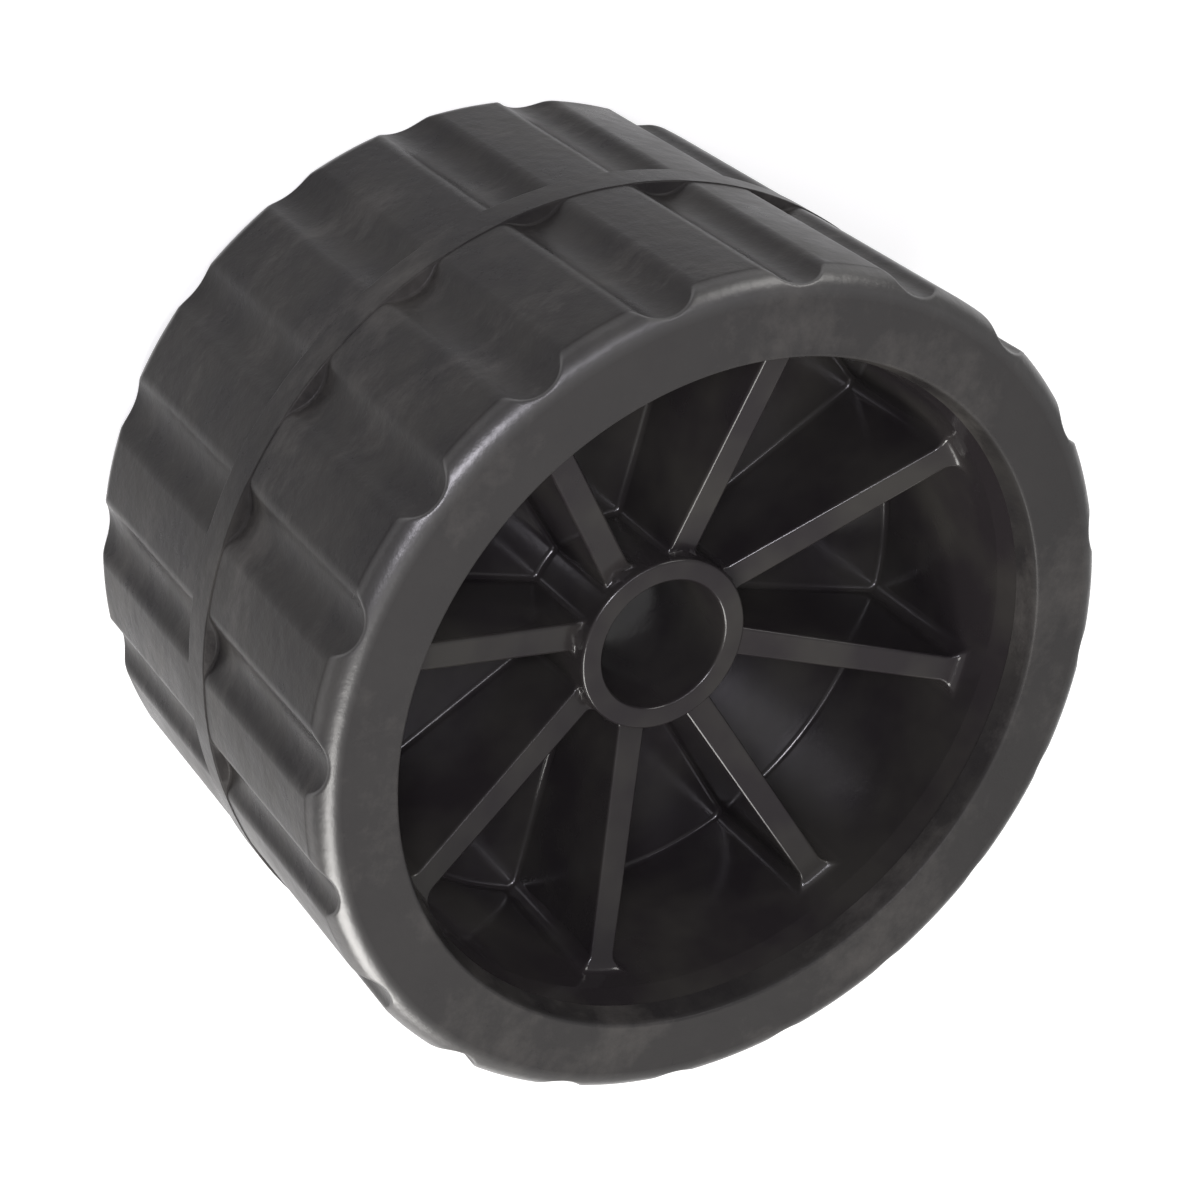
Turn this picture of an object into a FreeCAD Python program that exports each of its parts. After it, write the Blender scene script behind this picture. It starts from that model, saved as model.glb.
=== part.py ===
import FreeCAD, Part
import math
import os

# Side roller of a boat trailer: a ribbed plastic hub with a rubber tread moulded round it.
# The bore lies along Z and the roller stands on one end, with Z = 0 at its lower face.
# Both ends are alike. Depths run inwards from the nearer end face of the tread.
# Sizes are in millimetres and angles in degrees.

# Tread
tread_diameter = 120.0
tread_width = 75.0
tread_thickness = 9.0
shoulder_radius = 3.5
middle_band_width = 5.0
middle_band_stand = 0.15
middle_band_draft = 12.0
groove_count = 20
groove_depth = 1.75
groove_floor_radius = 6.3
groove_brow_radius = 3.0
groove_brow_break = 0.03
lip_thickness = 3.5
lip_flare = 1.05
lip_overhang = 0.15
lip_mouth_radius = 0.5

# Hub
hub_drum_wall = 3.15
hub_bevel = 0.6
hub_bevel_depth = 3.75
draft = 1.3
web_thickness = 8.0
boss_length = 38.4
boss_diameter = 25.2
boss_bevel = 0.35
boss_edge_radius = 0.7
bore_diameter = 19.0
bore_chamfer = 0.5

# Ribs and the bays between them
rib_count = 8
rib_width = 3.8
rib_end_depth = 11.5
rib_step_below_boss = 2.1
rib_end_radius = 2.2
bay_outer_corner = 1.8
bay_inner_corner = 1.3
bay_foot_bevel = 0.8
bay_wall_inset = 0.05

# Voids reach this far past the faces that they open
overrun = 1.0

# Turned corners are rounded by a few short flats, which keeps the meshes light
most_flats = 3
rounding_share = 0.48

# Sizes that follow
tread_radius = tread_diameter / 2
land_radius = tread_radius - middle_band_stand
hub_radius = tread_radius - tread_thickness
hub_mouth_radius = hub_radius - hub_drum_wall
hub_length = tread_width - 2 * lip_thickness
drum_radius = hub_mouth_radius - hub_bevel
drum_depth = lip_thickness + hub_bevel_depth
boss_radius = boss_diameter / 2
boss_depth = (tread_width - boss_length) / 2
rib_step_depth = boss_depth + rib_step_below_boss
web_depth = (tread_width - web_thickness) / 2
rib_pitch = 360.0 / rib_count
groove_pitch = 360.0 / groove_count

Z_AXIS = FreeCAD.Vector(0, 0, 1)
ORIGIN = FreeCAD.Vector(0, 0, 0)


def slope(angle):
    return math.tan(math.radians(angle))


def polar(radius, angle, z=0.0):
    turn = math.radians(angle)
    return FreeCAD.Vector(radius * math.cos(turn), radius * math.sin(turn), z)


def rounded_corner(before, corner, after, radius):
    """Ends of the short flats that round a corner, no longer than its sides allow."""
    back = (before - corner).normalize()
    ahead = (after - corner).normalize()
    half = back.getAngle(ahead) / 2
    shorter_side = min(before.distanceToPoint(corner), after.distanceToPoint(corner))
    run = min(radius / math.tan(half), rounding_share * shorter_side)
    rounding = run * math.tan(half)
    centre = corner + (back + ahead).normalize() * (rounding / math.sin(half))
    outward = (corner - centre).normalize()
    across = (ahead - back).normalize()
    spread = math.pi / 2 - half
    flats = min(most_flats, math.ceil(radius))
    points = []
    for i in range(flats + 1):
        turn = spread * (2 * i / flats - 1)
        points.append(centre + (outward * math.cos(turn) + across * math.sin(turn)) * rounding)
    return points


def turned(corners):
    """Solid of revolution about Z from (radius, z, rounding) corners."""
    points = [FreeCAD.Vector(r, 0, z) for r, z, rounding in corners]
    outline = []
    for i, (r, z, rounding) in enumerate(corners):
        if rounding > 0:
            outline += rounded_corner(points[i - 1], points[i], points[(i + 1) % len(points)], rounding)
        else:
            outline.append(points[i])
    section = Part.Face(Part.makePolygon(outline + outline[:1]))
    return section.revolve(ORIGIN, Z_AXIS, 360)


def both_ends(shape):
    """The shape and its mirror image about the roller's middle plane."""
    middle = FreeCAD.Vector(0, 0, tread_width / 2)
    return [shape, shape.mirror(middle, Z_AXIS)]


def around(shape, count, first_angle=0.0):
    """Copies of a shape spaced evenly round the axis."""
    copies = []
    for i in range(count):
        copy = shape.copy()
        copy.rotate(ORIGIN, Z_AXIS, first_angle + i * 360.0 / count)
        copies.append(copy)
    return copies


def drum_wall(depth):
    """Radius of the drafted inner wall of the drum."""
    return drum_radius - (depth - drum_depth) * slope(draft)


def boss_wall(depth):
    """Radius of the drafted boss between the ribs."""
    return boss_radius + boss_bevel / 2 + (depth - boss_depth) * slope(draft)


def rib_side(depth):
    """Half the thickness of a drafted rib."""
    return rib_width / 2 + (depth - rib_end_depth) * slope(draft)


def dish_void():
    """The turned space at the upper end: mouth, drum wall, rib fronts and boss."""
    mouth_slope = hub_bevel / hub_bevel_depth
    top_depth = lip_thickness - overrun
    corners = [
        (0, boss_depth, 0),
        (boss_radius, boss_depth, boss_edge_radius),
        (boss_radius + boss_bevel, rib_step_depth, 0),
        (drum_wall(rib_end_depth), rib_end_depth, rib_end_radius),
        (drum_radius, drum_depth, 0),
        (hub_mouth_radius + overrun * mouth_slope, top_depth, 0),
        (0, top_depth, 0),
    ]
    return turned([(r, tread_width - depth, rounding) for r, depth, rounding in corners])


def bay_corner(depth, inset, facing):
    """Points of the rounding between the rib below a bay and a round wall, and on through the wall.

    Facing is 1 at the drum, which lies outside the bay, and -1 at the boss.
    """
    wall = drum_wall(depth) - bay_wall_inset if facing > 0 else boss_wall(depth)
    floor_rounding = bay_outer_corner if facing > 0 else bay_inner_corner
    rounding = floor_rounding + (web_depth - depth) * slope(draft)
    reach = wall - facing * rounding
    lean = math.degrees(math.asin((rib_side(depth) + rounding) / reach))
    centre = polar(reach, lean - rib_pitch / 2)
    first = -rib_pitch / 2 - 90
    sweep = facing * (90 + facing * lean)
    points = []
    for i in range(most_flats + 1):
        points.append(centre + polar(rounding - inset, first + sweep * i / most_flats))
    points.append(points[-1] + (points[-1] - points[-2]).normalize() * overrun)
    return points


def bay_wedge_outline(depth, inset=0.0):
    """Outline between two ribs at one depth, centred on +X and open through both round walls."""
    drum_corner = bay_corner(depth, inset, 1)
    boss_corner = bay_corner(depth, inset, -1)
    beyond = polar(hub_radius + 2 * hub_drum_wall, -rib_pitch / 4)
    lower = list(reversed(boss_corner)) + drum_corner + [beyond]
    upper = [FreeCAD.Vector(p.x, -p.y, 0) for p in reversed(lower)]
    outline = Part.makePolygon(lower + upper + lower[:1])
    outline.translate(FreeCAD.Vector(0, 0, tread_width - depth))
    return outline


def bay_void():
    """One drafted bay down to the web, centred on +X, with a bevelled foot."""
    foot = min(bay_foot_bevel, bay_inner_corner / 2)
    top = lip_thickness + overrun
    knee = web_depth - foot
    outlines = [bay_wedge_outline(top), bay_wedge_outline(knee), bay_wedge_outline(web_depth, foot)]
    wedge = Part.makeLoft(outlines, True, True)

    wall_steps = [(top, 0), (knee, 0), (web_depth, foot)]
    outer = [(drum_wall(depth) - bay_wall_inset - inset, depth) for depth, inset in wall_steps]
    inner = [(boss_wall(depth) + inset, depth) for depth, inset in wall_steps]
    ring = turned([(r, tread_width - depth, 0) for r, depth in outer + inner[::-1]])
    ring.rotate(ORIGIN, Z_AXIS, 180)
    return ring.common(wedge).Solids[0]


def bore_void():
    """The through bore with a chamfer at each mouth."""
    radius = bore_diameter / 2
    low = boss_depth
    high = tread_width - boss_depth
    return turned([
        (0, low - overrun, 0),
        (radius + bore_chamfer + overrun, low - overrun, 0),
        (radius, low + bore_chamfer, 0),
        (radius, high - bore_chamfer, 0),
        (radius + bore_chamfer + overrun, high + overrun, 0),
        (0, high + overrun, 0),
    ])


def make_hub():
    blank = Part.makeCylinder(hub_radius, hub_length, FreeCAD.Vector(0, 0, lip_thickness))
    voids = both_ends(dish_void()) + [bore_void()]
    for bay in around(bay_void(), rib_count, rib_pitch / 2):
        voids += both_ends(bay)
    return blank.cut(voids).Solids[0]


def groove_outline():
    """Section of a tread groove across the axis: a hollow floor between two rounded brows."""
    brow_circle = land_radius + groove_brow_break - groove_brow_radius
    floor_circle = land_radius - groove_depth + groove_floor_radius
    reach = groove_floor_radius + groove_brow_radius
    cosine = (floor_circle ** 2 + brow_circle ** 2 - reach ** 2) / (2 * floor_circle * brow_circle)
    brow_angle = math.degrees(math.acos(cosine))
    floor_centre = polar(floor_circle, 0)

    def brow(sign):
        centre = polar(brow_circle, sign * brow_angle)
        toward_floor = (floor_centre - centre).normalize()
        outward = polar(1, sign * brow_angle)
        joint = centre + toward_floor * groove_brow_radius
        middle = centre + (toward_floor + outward).normalize() * groove_brow_radius
        return joint, middle, centre + outward * groove_brow_radius

    left = brow(1)
    right = brow(-1)
    outside = land_radius + shoulder_radius
    corners = [polar(outside, brow_angle), polar(outside, -brow_angle)]
    edges = [
        Part.Arc(left[2], left[1], left[0]),
        Part.Arc(left[0], polar(land_radius - groove_depth, 0), right[0]),
        Part.Arc(right[0], right[1], right[2]),
        Part.LineSegment(right[2], corners[1]),
        Part.LineSegment(corners[1], corners[0]),
        Part.LineSegment(corners[0], left[2]),
    ]
    return Part.Face(Part.Wire([edge.toShape() for edge in edges]))


def groove_void():
    groove = groove_outline().extrude(FreeCAD.Vector(0, 0, tread_width + 2 * overrun))
    groove.translate(FreeCAD.Vector(0, 0, -overrun))
    return groove


def middle_band():
    """Plain band round the middle of the tread, where the two rows of grooves end."""
    root = land_radius - groove_depth - overrun
    half = middle_band_width / 2
    spread = half + (tread_radius - root) * slope(middle_band_draft)
    middle = tread_width / 2
    return turned([
        (root, middle - spread, 0),
        (tread_radius, middle - half, 0),
        (tread_radius, middle + half, 0),
        (root, middle + spread, 0),
    ])


def tread_blank():
    """Rubber sleeve with a lip turned in over each end of the hub."""
    lip_radius = hub_mouth_radius - lip_overhang
    mouth_radius = lip_radius + lip_flare
    upper_lip = tread_width - lip_thickness
    return turned([
        (mouth_radius, 0, lip_mouth_radius),
        (land_radius, 0, shoulder_radius),
        (land_radius, tread_width, shoulder_radius),
        (mouth_radius, tread_width, lip_mouth_radius),
        (lip_radius, upper_lip, 0),
        (hub_radius, upper_lip, 0),
        (hub_radius, lip_thickness, 0),
        (lip_radius, lip_thickness, 0),
    ])


def make_tread():
    grooves = around(groove_void(), groove_count, groove_pitch / 2)
    return tread_blank().cut(grooves).fuse(middle_band()).Solids[0]


nodes = {"hub": make_hub(), "tread": make_tread()}
os.makedirs("parts", exist_ok=True)
for name, shape in nodes.items():
    print(name, shape.ShapeType, len(shape.Solids), "solids", shape.isValid(), round(shape.Volume))
    shape.exportStep("parts/" + name + ".step")
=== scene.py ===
import math
import bmesh
import bpy
from mathutils import Euler, Matrix, Vector


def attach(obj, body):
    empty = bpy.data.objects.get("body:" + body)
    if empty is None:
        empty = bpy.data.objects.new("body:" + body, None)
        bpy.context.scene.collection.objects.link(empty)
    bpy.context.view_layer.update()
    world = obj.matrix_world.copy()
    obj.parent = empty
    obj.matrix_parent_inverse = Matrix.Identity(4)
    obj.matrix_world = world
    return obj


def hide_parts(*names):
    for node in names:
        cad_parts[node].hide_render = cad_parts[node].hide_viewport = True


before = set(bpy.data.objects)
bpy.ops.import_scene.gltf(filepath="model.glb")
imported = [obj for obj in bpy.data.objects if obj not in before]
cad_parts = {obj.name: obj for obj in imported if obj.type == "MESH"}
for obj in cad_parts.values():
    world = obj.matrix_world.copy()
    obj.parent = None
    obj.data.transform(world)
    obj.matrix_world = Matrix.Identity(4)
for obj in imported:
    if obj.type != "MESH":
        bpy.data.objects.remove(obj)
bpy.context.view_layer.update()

# Side roller of a boat trailer: a ribbed plastic hub with a rubber tread round it.
# Sizes in the pieces' dictionaries are in millimetres and degrees. Depths run inwards from an end face.
# One end of each piece is shaped above the middle plane and mirrored. The piece is then raised and scaled to metres.
mm = 0.001
zAxis = Vector((0, 0, 1))
origin = Vector((0, 0, 0))

roller = {"diameter": 120.0, "width": 75.0, "hubRadius": 51.0, "lipThickness": 3.5}
halfWidth = roller["width"] / 2

modelling = {
    "weldReach": 0.002, "mirrorReach": 0.001,  # vertices this close become one
    "roundingShare": 0.45,  # a rounding takes this much of its shorter side at most
    "sharpAngle": 60.0,  # edges sharper than this stay sharp in the shading
}


def polar(radius, angle, z=0.0):
    turn = math.radians(angle)
    return Vector((radius * math.cos(turn), radius * math.sin(turn), z))


def angleOf(point):
    return math.degrees(math.atan2(point.y, point.x))


def onlyVerts(geom):
    return [g for g in geom if isinstance(g, bmesh.types.BMVert)]


def everything(bm):
    return bm.verts[:] + bm.edges[:] + bm.faces[:]


# An outline is a chain of edges: its last vertex is spun or drawn out, and the chain is then walked in order

def arcFrom(bm, vert, centre, angle, steps):
    made = bmesh.ops.spin(bm, geom=[vert], cent=centre, axis=zAxis, angle=math.radians(angle), steps=steps)
    return onlyVerts(made["geom_last"])[0]


def runFrom(bm, vert, target, steps):
    step = (target - vert.co) / steps
    for _ in range(steps):
        vert = bmesh.ops.extrude_vert_indiv(bm, verts=[vert])["verts"][0]
        vert.co += step
    return vert


def chainFrom(vert):
    chain = [vert]
    while True:
        ahead = [e.other_vert(chain[-1]) for e in chain[-1].link_edges]
        ahead = [v for v in ahead if v not in chain[-2:]]
        if not ahead:
            return chain
        chain.append(ahead[0])


def roundedPath(corners, steps):
    # corners are (radius, height, rounding)
    points = [Vector((radius, 0, height)) for radius, height, rounding in corners]
    path = []
    for i, point in enumerate(points):
        rounding = corners[i][2]
        if not rounding:
            path.append(point)
            continue
        back, ahead = points[i - 1] - point, points[i + 1] - point
        half = back.angle(ahead) / 2
        share = modelling["roundingShare"]
        reach = min(rounding / math.tan(half), share * back.length, share * ahead.length)
        back, ahead = back.normalized() * reach, ahead.normalized() * reach
        centre = (back + ahead).normalized() * (reach / math.cos(half))
        for k in range(steps + 1):
            spoke = (back - centre).lerp(ahead - centre, k / steps).normalized()
            path.append(point + centre + spoke * (reach * math.tan(half)))
    return path


def drawRows(bm, chain, column, paths):
    # draws a chain out row by row, each vertex along the path of its own column
    for i, v in enumerate(chain):
        v[column] = i
    rows = [[next(e for e in a.link_edges if e.other_vert(a) is b) for a, b in zip(chain, chain[1:])]]
    for k in range(1, len(paths[0])):
        made = bmesh.ops.extrude_edge_only(bm, edges=rows[-1])["geom"]
        verts = set(onlyVerts(made))
        for v in verts:
            v.co = paths[v[column]][k]
        rows.append([e for e in made if isinstance(e, bmesh.types.BMEdge) and verts.issuperset(e.verts)])
    return rows


def turnedRing(corners, steps, around):
    bm = bmesh.new()
    verts = [bm.verts.new(point) for point in roundedPath(corners, steps)]
    edges = [bm.edges.new(pair) for pair in zip(verts, verts[1:])]
    bmesh.ops.spin(bm, geom=verts + edges, cent=origin, axis=zAxis, angle=math.tau,
                   steps=around, use_merge=True)
    return bm


def repeatRound(bm, count):
    bmesh.ops.spin(bm, geom=everything(bm), cent=origin, axis=zAxis, angle=math.tau * (count - 1) / count,
                   steps=count - 1, use_duplicate=True)


def weld(bm):
    # one skin with its faces turned the same way, which bevels need too
    bmesh.ops.remove_doubles(bm, verts=bm.verts[:], dist=modelling["weldReach"])
    bmesh.ops.recalc_face_normals(bm, faces=bm.faces[:])


def mirrored(bm, axis):
    bmesh.ops.mirror(bm, geom=everything(bm), matrix=Matrix.Identity(4), axis=axis,
                     merge_dist=modelling["mirrorReach"])
    weld(bm)


def turned(bm, angle):
    bmesh.ops.rotate(bm, verts=bm.verts[:], cent=origin, matrix=Matrix.Rotation(math.radians(angle), 3, "Z"))


def addTo(bm, other):
    # joins another bmesh on, by way of a mesh that is thrown away
    mesh = bpy.data.meshes.new("joined")
    other.to_mesh(mesh)
    other.free()
    bm.from_mesh(mesh)
    bpy.data.meshes.remove(mesh)


def roundOff(bm, mark, value, offset, segments):
    edges = [e for e in bm.edges if e[mark] == value]
    bmesh.ops.bevel(bm, geom=edges, offset=offset, offset_type="OFFSET", segments=segments, profile=0.5,
                    affect="EDGES", material=-1, clamp_overlap=False)


def makePiece(name, bm, material, node):
    bmesh.ops.translate(bm, vec=(0, 0, halfWidth), verts=bm.verts[:])
    bmesh.ops.scale(bm, vec=(mm, mm, mm), verts=bm.verts[:])
    mesh = bpy.data.meshes.new(name)
    bm.to_mesh(mesh)
    bm.free()
    mesh.shade_smooth()
    mesh.set_sharp_from_angle(angle=math.radians(modelling["sharpAngle"]))
    mesh.materials.append(material)
    piece = bpy.data.objects.new(name, mesh)
    bpy.context.scene.collection.objects.link(piece)
    normals = piece.modifiers.new("weightedNormals", "WEIGHTED_NORMAL")
    normals.keep_sharp = True
    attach(piece, "root")
    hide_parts(node)
    mesh.calc_loop_triangles()
    print(name, "made:", len(mesh.vertices), "vertices,", len(mesh.loop_triangles), "triangles")


# Node helpers

def newMaterial(name):
    material = bpy.data.materials.new(name)
    material.use_nodes = True
    nodes = material.node_tree.nodes
    return material, nodes, material.node_tree.links, nodes["Principled BSDF"]


def noiseOf(nodes, links, coords, scale, detail=2.0, roughness=0.5):
    noise = nodes.new("ShaderNodeTexNoise")
    noise.inputs["Scale"].default_value = scale
    noise.inputs["Detail"].default_value = detail
    noise.inputs["Roughness"].default_value = roughness
    links.new(coords, noise.inputs["Vector"])
    return noise.outputs["Fac"]


def stretched(nodes, links, coords, factors):
    product = nodes.new("ShaderNodeVectorMath")
    product.operation = "MULTIPLY"
    product.inputs[1].default_value = factors
    links.new(coords, product.inputs[0])
    return product.outputs["Vector"]


def lengthOf(nodes, links, vector):
    length = nodes.new("ShaderNodeVectorMath")
    length.operation = "LENGTH"
    links.new(vector, length.inputs[0])
    return length.outputs["Value"]


def rangeOf(nodes, links, value, low, high, toLow, toHigh):
    span = nodes.new("ShaderNodeMapRange")
    for name, number in (("From Min", low), ("From Max", high), ("To Min", toLow), ("To Max", toHigh)):
        span.inputs[name].default_value = number
    links.new(value, span.inputs["Value"])
    return span.outputs["Result"]


def mathOf(nodes, links, operation, first, second):
    node = nodes.new("ShaderNodeMath")
    node.operation = operation
    for socket, value in zip(node.inputs, (first, second)):
        if isinstance(value, float):
            socket.default_value = value
        else:
            links.new(value, socket)
    return node.outputs["Value"]


def blend(nodes, links, factor, first, second):
    mix = nodes.new("ShaderNodeMix")
    links.new(factor, mix.inputs["Factor"])
    links.new(first, mix.inputs["A"])
    mix.inputs["B"].default_value = second
    return mix.outputs["Result"]


def bumpOf(nodes, links, height, distance, normal=None):
    bump = nodes.new("ShaderNodeBump")
    bump.inputs["Strength"].default_value = 1.0
    bump.inputs["Distance"].default_value = distance
    links.new(height, bump.inputs["Height"])
    if normal:
        links.new(normal, bump.inputs["Normal"])
    return bump.outputs["Normal"]


def colourMix(nodes, links, factor, first, second):
    mix = nodes.new("ShaderNodeMix")
    mix.data_type = "RGBA"
    links.new(factor, mix.inputs["Factor"])
    # sockets 6, 7 and 2 are the colour ones, of several that share the names A, B and Result
    for socket, colour in ((mix.inputs[6], first), (mix.inputs[7], second)):
        if isinstance(colour, tuple):
            socket.default_value = (*colour, 1)
        else:
            links.new(colour, socket)
    return mix.outputs[2]


# Hub: black moulded plastic, half a bay drawn, mirrored and repeated round the bore

hub = {
    "ribs": 8, "ribWidth": 3.8, "ribEndDepth": 11.5, "ribEndRadius": 2.2, "ribStepBelowBoss": 2.1,
    "ribFootRadius": 0.5, "ribEdgeRadius": 0.4, "edgeSupport": 0.5, "draft": 1.3,
    "webDepth": 33.5, "webFillet": 0.9, "outerCorner": 1.8, "innerCorner": 1.3,
    "drumRadius": 47.25, "drumDepth": 7.25, "drumEdgeRadius": 0.8, "mouthRadius": 47.85,
    "bossRadius": 12.78, "bossDepth": 18.3, "bossEdgeRadius": 0.7,
    "boreRadius": 9.5, "boreChamfer": 0.5,
    # where a bay's mesh meets the rim, the boss and the next bay
    "seamOnDrum": 8.9, "seamOnBoss": 19.3, "seamStep": 0.44,
    "drumSteps": 6, "cornerSteps": 14, "ribSteps": 12, "innerCornerSteps": 12, "bossSteps": 5, "landRows": 6,
    "dishSteps": 24, "ribEdgeSteps": 3, "webFilletSteps": 4, "rimSteps": 3, "bossEdgeSteps": 5, "halvings": 40,
}
floorEdge, ribEdge = 1, 2  # marks on the edges that are rounded off
lean = math.tan(math.radians(hub["draft"]))
halfPitch = 180.0 / hub["ribs"]
drumAround = 2 * hub["ribs"] * (hub["drumSteps"] + hub["cornerSteps"])
bossAround = 2 * hub["ribs"] * (hub["bossSteps"] + hub["innerCornerSteps"])


def drumWall(depth):
    return hub["drumRadius"] - (depth - hub["drumDepth"]) * lean


def bossWall(depth):
    return hub["bossRadius"] + (depth - hub["bossDepth"]) * lean


def ribSide(depth):
    return hub["ribWidth"] / 2 + (depth - hub["ribEndDepth"]) * lean


def dishStations():
    # boss side, rib front and drum wall, as points with the distance run so far
    step = hub["bossDepth"] + hub["ribStepBelowBoss"]
    points = roundedPath([
        (bossWall(hub["seamOnBoss"]), halfWidth - hub["seamOnBoss"], 0),
        (bossWall(step), halfWidth - step, hub["ribFootRadius"]),
        (drumWall(hub["ribEndDepth"]), halfWidth - hub["ribEndDepth"], hub["ribEndRadius"]),
        (drumWall(hub["seamOnDrum"]), halfWidth - hub["seamOnDrum"], 0),
    ], hub["dishSteps"])
    stations = [(points[0].x - (step - hub["seamOnBoss"]), points[0])]
    for a, b in zip(points, points[1:]):
        stations.append((stations[-1][0] + (b - a).length, b))
    return stations


def stationAt(stations, along):
    for (s0, a), (s1, b) in zip(stations, stations[1:]):
        if along <= s1:
            break
    return a.lerp(b, (along - s0) / (s1 - s0))


def bayFloorChain(bm):
    # half the outline of a bay's floor, from the middle of the drum wall to the middle of the boss
    depth = hub["webDepth"]
    level = Vector((0, 0, halfWidth - depth))
    drumReach = drumWall(depth) - hub["outerCorner"]
    bossReach = bossWall(depth) + hub["innerCorner"]
    drumTurn = halfPitch - math.degrees(math.asin((ribSide(depth) + hub["outerCorner"]) / drumReach))
    bossTurn = halfPitch - math.degrees(math.asin((ribSide(depth) + hub["innerCorner"]) / bossReach))
    square = halfPitch + 90
    start = bm.verts.new(polar(drumWall(depth), 0) + level)
    last = arcFrom(bm, start, origin, drumTurn, hub["drumSteps"])
    last = arcFrom(bm, last, polar(drumReach, drumTurn), square - drumTurn, 2 * hub["cornerSteps"])
    innerCentre = polar(bossReach, bossTurn)
    last = runFrom(bm, last, innerCentre + polar(hub["innerCorner"], square) + level, hub["ribSteps"])
    last = arcFrom(bm, last, innerCentre, 180 + bossTurn - square, 2 * hub["innerCornerSteps"])
    arcFrom(bm, last, origin, -bossTurn, hub["bossSteps"])
    return chainFrom(start)


def outwardOf(points):
    # level directions out of half a bay's outline, whose ends meet its mirror image
    flip = Vector((1, -1, 1))
    full = [points[1] * flip] + points + [points[-2] * flip]
    directions = []
    for before, point, after in zip(full, full[1:], full[2:]):
        normals = [(b - a).cross(zAxis).normalized() for a, b in ((before, point), (point, after))]
        directions.append((normals[0] + normals[1]).normalized())
    return directions


def onWall(foot, outward, z):
    point = foot + outward * ((z - foot.z) * lean)
    point.z = z
    return point


def topOfWall(stations, foot, outward):
    # how far along the dish a line up the bay's wall comes out, found by halving
    low, high = stations[1][0], stations[-2][0]
    for _ in range(hub["halvings"]):
        middle = (low + high) / 2
        surface = stationAt(stations, middle)
        if onWall(foot, outward, surface.z).to_2d().length > surface.x:
            low = middle
        else:
            high = middle
    return low


def baySeam(stations):
    # where the columns of half a bay meet the neighbours, on the dish rolled out flat
    first, last = stations[0][0], stations[-1][0]
    drum = hub["drumSteps"] + hub["cornerSteps"]
    boss = hub["bossSteps"] + hub["innerCornerSteps"]
    side = hub["ribSteps"] + hub["innerCornerSteps"]
    bend = last - hub["seamStep"] * hub["cornerSteps"]
    seam = [polar(last, halfPitch * i / drum) for i in range(drum + 1)]
    seam += [polar(last - hub["seamStep"] * i, halfPitch) for i in range(1, hub["cornerSteps"] + 1)]
    seam += [polar(bend + (first - bend) * i / side, halfPitch) for i in range(1, side + 1)]
    seam += [polar(first, halfPitch * (1 - i / boss)) for i in range(1, boss + 1)]
    return seam


def onDish(stations, flat):
    surface = stationAt(stations, flat.length)
    return polar(surface.x, angleOf(flat), surface.z)


def makeBay(stations):
    bm = bmesh.new()
    column = bm.verts.layers.int.new("column")
    mark = bm.edges.layers.int.new("mark")
    chain = bayFloorChain(bm)
    feet = [v.co.copy() for v in chain]
    outward = outwardOf(feet)
    tops = [topOfWall(stations, foot, out) for foot, out in zip(feet, outward)]
    heights = [stationAt(stations, along).z for along in tops]
    flats = [polar(along, angleOf(onWall(foot, out, z)))
             for foot, out, along, z in zip(feet, outward, tops, heights)]
    paths = []
    columns = zip(feet, outward, heights, flats, outwardOf(flats), baySeam(stations))
    for foot, out, z, flat, flatOut, seam in columns:
        support = flat + flatOut * hub["edgeSupport"]
        land = [onDish(stations, support.lerp(seam, k / hub["landRows"])) for k in range(hub["landRows"] + 1)]
        paths.append([foot, onWall(foot, out, z - hub["edgeSupport"]), onDish(stations, flat)] + land)
    rows = drawRows(bm, chain, column, paths)
    bmesh.ops.contextual_create(bm, geom=chain + rows[0])
    for e in bm.edges:
        e[mark] = 0
    for value, row in ((floorEdge, rows[0]), (ribEdge, rows[2])):
        for e in row:
            e[mark] = value
    mirrored(bm, "Y")
    roundOff(bm, mark, ribEdge, hub["ribEdgeRadius"], hub["ribEdgeSteps"])
    roundOff(bm, mark, floorEdge, hub["webFillet"], hub["webFilletSteps"])
    turned(bm, halfPitch)
    return bm


def hubRim():
    return turnedRing([
        (drumWall(hub["seamOnDrum"]), halfWidth - hub["seamOnDrum"], 0),
        (hub["drumRadius"], halfWidth - hub["drumDepth"], hub["drumEdgeRadius"]),
        (hub["mouthRadius"], halfWidth - roller["lipThickness"], 0),
        (roller["hubRadius"], halfWidth - roller["lipThickness"], 0),
        (roller["hubRadius"], 0, 0),
    ], hub["rimSteps"], drumAround)


def hubBoss():
    face = halfWidth - hub["bossDepth"]
    return turnedRing([
        (bossWall(hub["seamOnBoss"]), halfWidth - hub["seamOnBoss"], 0),
        (hub["bossRadius"], face, hub["bossEdgeRadius"]),
        (hub["boreRadius"] + hub["boreChamfer"], face, 0),
        (hub["boreRadius"], face - hub["boreChamfer"], 0),
        (hub["boreRadius"], 0, 0),
    ], hub["bossEdgeSteps"], bossAround)


def makeHub(material):
    bm = makeBay(dishStations())
    repeatRound(bm, hub["ribs"])
    addTo(bm, hubRim())
    addTo(bm, hubBoss())
    weld(bm)
    mirrored(bm, "Z")
    makePiece("hubMoulding", bm, material, "hub")


# Tread: dark rubber, half a groove drawn, mirrored and repeated round the hub

tread = {
    "grooves": 20, "grooveDepth": 1.75, "floorRadius": 6.3, "browRadius": 3.0, "bandStand": 0.15,
    "bandWidth": 5.0, "bandDraft": 12.0, "bandEdgeRadius": 0.3, "bandFootRadius": 0.5,
    "shoulderRadius": 3.5, "creaseReach": 0.3,
    "lipRadius": 47.7, "lipFlare": 1.05, "lipMouthRadius": 0.5,
    "floorSteps": 7, "browSteps": 7, "landSteps": 3, "roundingSteps": 3, "shoulderRows": 8, "mouthRows": 5,
}
landRadius = roller["diameter"] / 2 - tread["bandStand"]
faceRadius = landRadius - tread["shoulderRadius"]


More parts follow.
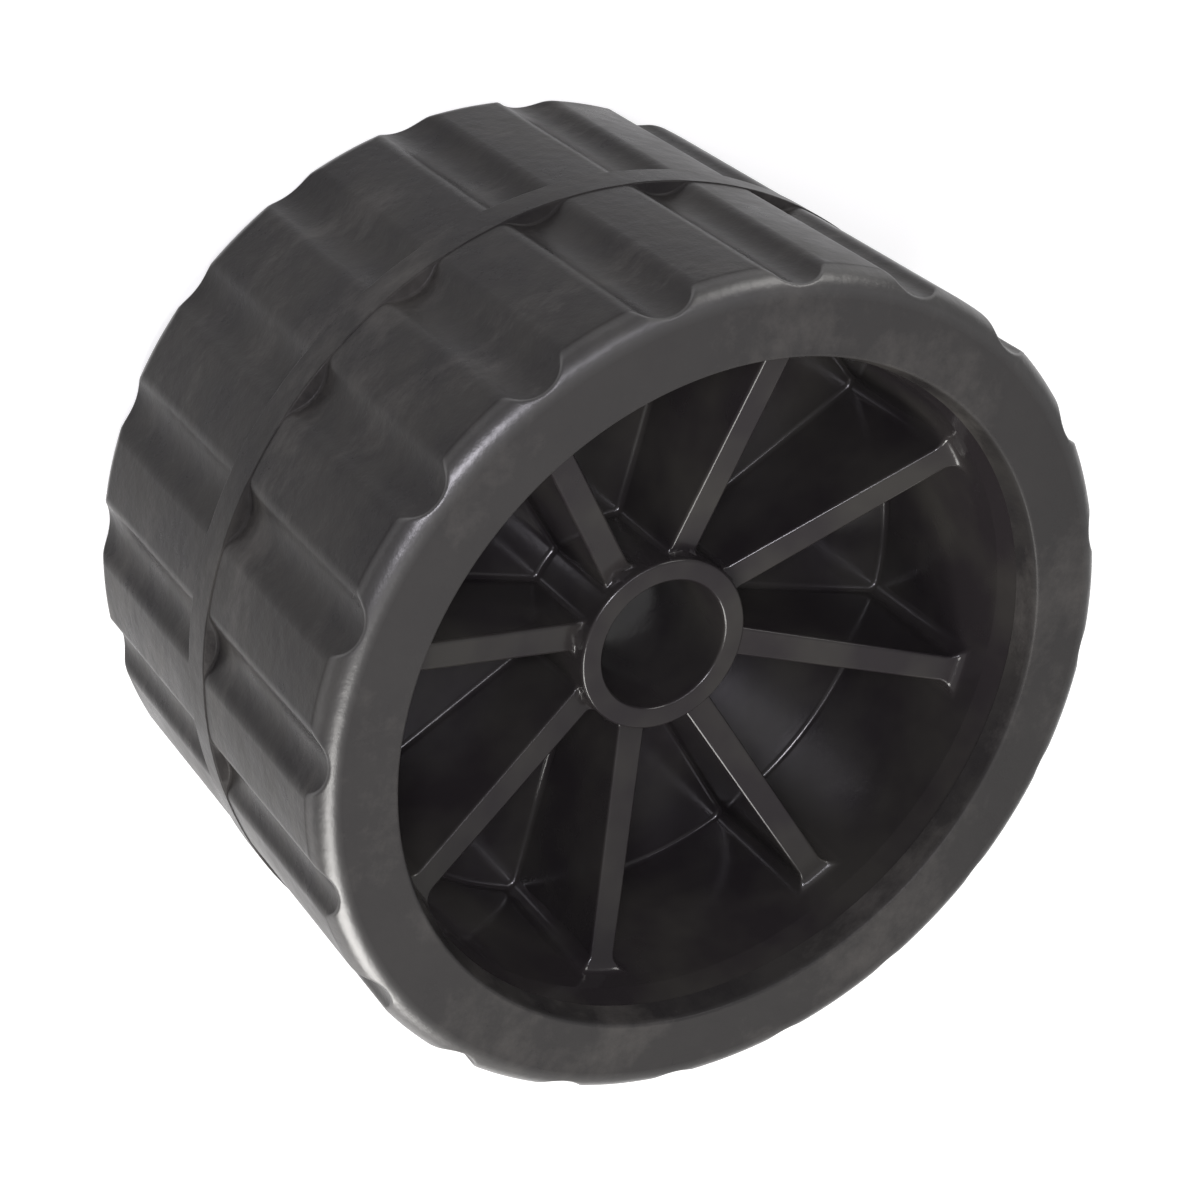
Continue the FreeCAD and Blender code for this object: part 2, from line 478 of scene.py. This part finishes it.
def grooveChain(bm):
    # half a groove's section, from its middle to the middle of the land beside it
    floorReach = landRadius - tread["grooveDepth"] + tread["floorRadius"]
    browReach = landRadius - tread["browRadius"]
    gap = tread["floorRadius"] + tread["browRadius"]
    browCosine = (floorReach ** 2 + browReach ** 2 - gap ** 2) / (2 * floorReach * browReach)
    browTurn = math.degrees(math.acos(browCosine))
    browCentre = polar(browReach, browTurn)
    sweep = math.degrees(math.atan2(browCentre.y, floorReach - browCentre.x))
    start = bm.verts.new((landRadius - tread["grooveDepth"], 0, 0))
    last = arcFrom(bm, start, polar(floorReach, 0), -sweep, tread["floorSteps"])
    last = arcFrom(bm, last, browCentre, sweep + browTurn, tread["browSteps"])
    arcFrom(bm, last, origin, 180.0 / tread["grooves"] - browTurn, tread["landSteps"])
    return chainFrom(start)


def onShoulder(turn):
    # a point of the shoulder's rounding, from 0 at the end face to 90 at the land
    return Vector((faceRadius, 0, halfWidth - tread["shoulderRadius"])) + Vector((
        tread["shoulderRadius"] * math.sin(math.radians(turn)), 0,
        tread["shoulderRadius"] * math.cos(math.radians(turn))))


def treadProfile(radius):
    # the way from the middle plane over the tread and back inside it, for a column of one radius
    top = roller["diameter"] / 2
    bandHalf = tread["bandWidth"] / 2
    bandFoot = bandHalf + (top - radius) * math.tan(math.radians(tread["bandDraft"]))
    turn = math.degrees(math.asin(min(1.0, (radius - faceRadius) / tread["shoulderRadius"])))
    reach = tread["creaseReach"]
    crease = onShoulder(turn)
    turn -= math.degrees(reach / tread["shoulderRadius"])
    along = roundedPath([
        (top, 0, 0), (top, bandHalf, tread["bandEdgeRadius"]), (radius, bandFoot, tread["bandFootRadius"]),
        (radius, crease.z - reach, 0),
    ], tread["roundingSteps"])
    soft = [(along[-1] + crease * 2 + onShoulder(turn)) / 4]  # the crease, taken a little inwards
    rows = tread["shoulderRows"]
    shoulder = [onShoulder(turn * (1 - k / rows)) for k in range(rows + 1)]
    lipFoot = halfWidth - roller["lipThickness"]
    inside = roundedPath([
        (faceRadius, halfWidth, 0),
        (tread["lipRadius"] + tread["lipFlare"], halfWidth, tread["lipMouthRadius"]),
        (tread["lipRadius"], lipFoot, 0), (roller["hubRadius"], lipFoot, 0), (roller["hubRadius"], 0, 0),
    ], tread["mouthRows"])
    return along + soft + shoulder + inside[1:]


def makeTread(material):
    bm = bmesh.new()
    column = bm.verts.layers.int.new("column")
    chain = grooveChain(bm)
    paths = [[polar(p.x, angleOf(v.co), p.z) for p in treadProfile(v.co.length)] for v in chain]
    for v, path in zip(chain, paths):
        v.co = path[0]
    drawRows(bm, chain, column, paths)
    mirrored(bm, "Y")
    repeatRound(bm, tread["grooves"])
    weld(bm)
    turned(bm, 180.0 / tread["grooves"])
    mirrored(bm, "Z")
    makePiece("treadRubber", bm, material, "tread")


# Finishes: a span runs from no effect to full effect, and lengths are in metres like the coordinates

plastic = {
    "colour": (0.0230, 0.0200, 0.0215), "worn": (0.036, 0.0338, 0.0312), "wornSpan": (0.4, 0.65),
    "cloudScale": 70.0, "cloudDetail": 3.0, "roughness": (0.15, 0.24), "roughSpan": (0.35, 0.7),
    "rippleScale": 260.0, "rippleHeight": 0.00003, "grainScale": 1600.0, "grainHeight": 0.000008,
}
rubber = {
    "colour": (0.0215, 0.0200, 0.0202), "pale": (0.031, 0.0292, 0.0278), "paleSpan": (0.4, 0.62),
    "cloudScale": 110.0, "cloudDetail": 5.0, "cloudRoughness": 0.6,
    "dust": (0.13, 0.122, 0.114), "dustShare": 0.36, "dustSpan": (0.52, 0.74),
    "streakScale": 45.0, "streakStretch": (1.0, 1.0, 2.0), "streakDetail": 9.0, "streakRoughness": 0.72,
    # the end faces' colour is painted light: a paler copy of the same rubber, standing in for the light falling on
    # the faces
    "face": (0.046, 0.0447, 0.0440), "litFaceShare": 0.8, "litFaceHeight": (0.0366, 0.0374),
    "roughness": (0.26, 0.38), "roughSpan": (0.35, 0.7), "gloss": 0.07,
    "mottleScale": 420.0, "mottleDetail": 3.0, "mottleHeight": 0.00008,
    "grainScale": 2600.0, "grainHeight": 0.000016,
    "polishedRadius": (0.0563, 0.0575), "polishedHeight": (0.0344, 0.0360), "polishedReach": (0.00325, 0.00344),
    "polishedGloss": 0.9, "polishedRoughness": 0.36,
}


def plasticMaterial():
    material, nodes, links, shader = newMaterial("blackPlastic")
    coords = nodes.new("ShaderNodeTexCoord").outputs["Object"]
    clouds = noiseOf(nodes, links, coords, plastic["cloudScale"], plastic["cloudDetail"])
    worn = rangeOf(nodes, links, clouds, *plastic["wornSpan"], 0, 1)
    links.new(colourMix(nodes, links, worn, plastic["colour"], plastic["worn"]), shader.inputs["Base Color"])
    rough = rangeOf(nodes, links, clouds, *plastic["roughSpan"], *plastic["roughness"])
    links.new(rough, shader.inputs["Roughness"])
    ripple = noiseOf(nodes, links, coords, plastic["rippleScale"])
    grain = noiseOf(nodes, links, coords, plastic["grainScale"])
    rippled = bumpOf(nodes, links, ripple, plastic["rippleHeight"])
    links.new(bumpOf(nodes, links, grain, plastic["grainHeight"], rippled), shader.inputs["Normal"])
    return material


def rubberZones(nodes, links, coords):
    # 1 on the end faces, which are painted paler than the sides as painted light for the light they catch, and 1 on
    # the rounded shoulders, which wear smooth
    radius = lengthOf(nodes, links, stretched(nodes, links, coords, (1.0, 1.0, 0.0)))
    split = nodes.new("ShaderNodeSeparateXYZ")
    links.new(coords, split.inputs["Vector"])
    fromMiddle = mathOf(nodes, links, "SUBTRACT", split.outputs["Z"], halfWidth * mm)
    height = mathOf(nodes, links, "ABSOLUTE", fromMiddle, 0.0)
    face = rangeOf(nodes, links, height, *rubber["litFaceHeight"], 0, 1)
    # the grooves lie nearer to the centre of the shoulder's rounding, so they stay matt
    across = mathOf(nodes, links, "SUBTRACT", radius, faceRadius * mm)
    above = mathOf(nodes, links, "SUBTRACT", height, (halfWidth - tread["shoulderRadius"]) * mm)
    spoke = nodes.new("ShaderNodeCombineXYZ")
    links.new(across, spoke.inputs["X"])
    links.new(above, spoke.inputs["Y"])
    reach = lengthOf(nodes, links, spoke.outputs["Vector"])
    polished = rangeOf(nodes, links, reach, *rubber["polishedReach"], 0, 1)
    for value, limits in ((radius, rubber["polishedRadius"]), (height, rubber["polishedHeight"])):
        polished = mathOf(nodes, links, "MULTIPLY", polished, rangeOf(nodes, links, value, *limits, 0, 1))
    return face, polished


def rubberMaterial():
    material, nodes, links, shader = newMaterial("scuffedRubber")
    coords = nodes.new("ShaderNodeTexCoord").outputs["Object"]
    clouds = noiseOf(nodes, links, coords,
                     rubber["cloudScale"], rubber["cloudDetail"], rubber["cloudRoughness"])
    paleness = rangeOf(nodes, links, clouds, *rubber["paleSpan"], 0, 1)
    body = colourMix(nodes, links, paleness, rubber["colour"], rubber["pale"])
    streaks = noiseOf(nodes, links, stretched(nodes, links, coords, rubber["streakStretch"]),
                      rubber["streakScale"], rubber["streakDetail"], rubber["streakRoughness"])
    scuffs = rangeOf(nodes, links, streaks, *rubber["dustSpan"], 0, rubber["dustShare"])
    face, polished = rubberZones(nodes, links, coords)
    # painted light: the end faces are made paler than the sides, for the light they catch
    paintedFaceLight = rangeOf(nodes, links, face, 0, 1, 0, rubber["litFaceShare"])
    body = colourMix(nodes, links, paintedFaceLight, body, rubber["face"])
    links.new(colourMix(nodes, links, scuffs, body, rubber["dust"]), shader.inputs["Base Color"])
    rough = rangeOf(nodes, links, clouds, *rubber["roughSpan"], *rubber["roughness"])
    links.new(blend(nodes, links, polished, rough, rubber["polishedRoughness"]), shader.inputs["Roughness"])
    links.new(rangeOf(nodes, links, polished, 0, 1, rubber["gloss"], rubber["polishedGloss"]),
              shader.inputs["Specular IOR Level"])
    mottle = noiseOf(nodes, links, coords, rubber["mottleScale"], rubber["mottleDetail"])
    grain = noiseOf(nodes, links, coords, rubber["grainScale"])
    mottled = bumpOf(nodes, links, mottle, rubber["mottleHeight"])
    links.new(bumpOf(nodes, links, grain, rubber["grainHeight"], mottled), shader.inputs["Normal"])
    return material


makeHub(plasticMaterial())
makeTread(rubberMaterial())


# Floor, light and camera

stage = {
    "floorSize": 6.0, "floorColour": (0.6, 0.6, 0.6), "floorRoughness": 0.9, "floorLift": 0.6,
    "roomStrength": 0.3,
}
warm, cool = (1.0, 0.98, 0.95), (0.94, 0.91, 1.0)
lamps = {
    # place, height over the origin that it aims at, width, depth, watts and tint
    "key": ((0.70, -0.33, 0.96), 0.04, 0.5, 0.5, 6.0, warm),
    "beside": ((0.425, -0.114, 0.25), 0.04, 0.25, 0.25, 2.0, warm),
    "rim": ((-0.596, 0.217, 0.336), 0.04, 0.3, 0.3, 1.2, warm),
    "strip": ((-0.192, -0.173, 0.42), 0.05, 0.55, 0.05, 0.5, cool),
    "byCamera": ((-0.150, -0.258, 0.388), 0.05, 0.1, 0.1, 0.7, cool),
}
camera = {
    "place": (-0.1305, -0.2120, 0.3303), "turn": (-29.381, -29.457, 106.997),
    "lens": 81.95, "sensor": 36.0, "nearest": 0.01,
}


def makeFloor():
    bm = bmesh.new()
    bmesh.ops.create_grid(bm, x_segments=1, y_segments=1, size=stage["floorSize"] / 2)
    mesh = bpy.data.meshes.new("floor")
    bm.to_mesh(mesh)
    bm.free()
    material, nodes, links, shader = newMaterial("paleFloor")
    shader.inputs["Base Color"].default_value = (*stage["floorColour"], 1)
    shader.inputs["Roughness"].default_value = stage["floorRoughness"]
    shader.inputs["Emission Color"].default_value = (1, 1, 1, 1)
    # the camera and reflections see the floor's glow, which lights nothing else
    path = nodes.new("ShaderNodeLightPath")
    seen = path.outputs["Is Camera Ray"]
    for kind in ("Is Glossy Ray", "Is Transmission Ray"):
        seen = mathOf(nodes, links, "MAXIMUM", seen, path.outputs[kind])
    links.new(rangeOf(nodes, links, seen, 0, 1, 0, stage["floorLift"]), shader.inputs["Emission Strength"])
    mesh.materials.append(material)
    floor = bpy.data.objects.new("floor", mesh)
    bpy.context.scene.collection.objects.link(floor)


def addLamp(name, place, aim, width, depth, power, tint):
    lamp = bpy.data.lights.new(name, "AREA")
    lamp.shape = "ELLIPSE"
    lamp.size = width
    lamp.size_y = depth
    lamp.energy = power
    lamp.color = tint
    holder = bpy.data.objects.new(name, lamp)
    holder.location = place
    holder.rotation_euler = (Vector((0, 0, aim)) - Vector(place)).to_track_quat("-Z", "Y").to_euler()
    bpy.context.scene.collection.objects.link(holder)


def makeLight():
    world = bpy.data.worlds.new("softRoom")
    world.use_nodes = True
    background = world.node_tree.nodes["Background"]
    background.inputs["Color"].default_value = (1, 1, 1, 1)
    background.inputs["Strength"].default_value = stage["roomStrength"]
    bpy.context.scene.world = world
    for name, lamp in lamps.items():
        addLamp(name, *lamp)


def makeCamera():
    data = bpy.data.cameras.new("camera")
    data.sensor_width = camera["sensor"]
    data.lens = camera["lens"]
    data.clip_start = camera["nearest"]
    holder = bpy.data.objects.new("camera", data)
    holder.location = camera["place"]
    holder.rotation_euler = Euler([math.radians(a) for a in camera["turn"]])
    bpy.context.scene.collection.objects.link(holder)
    bpy.context.scene.camera = holder


makeFloor()
makeLight()
makeCamera()
bpy.context.scene.view_settings.view_transform = "Standard"
print("floor,", len(lamps), "lamps and camera set")
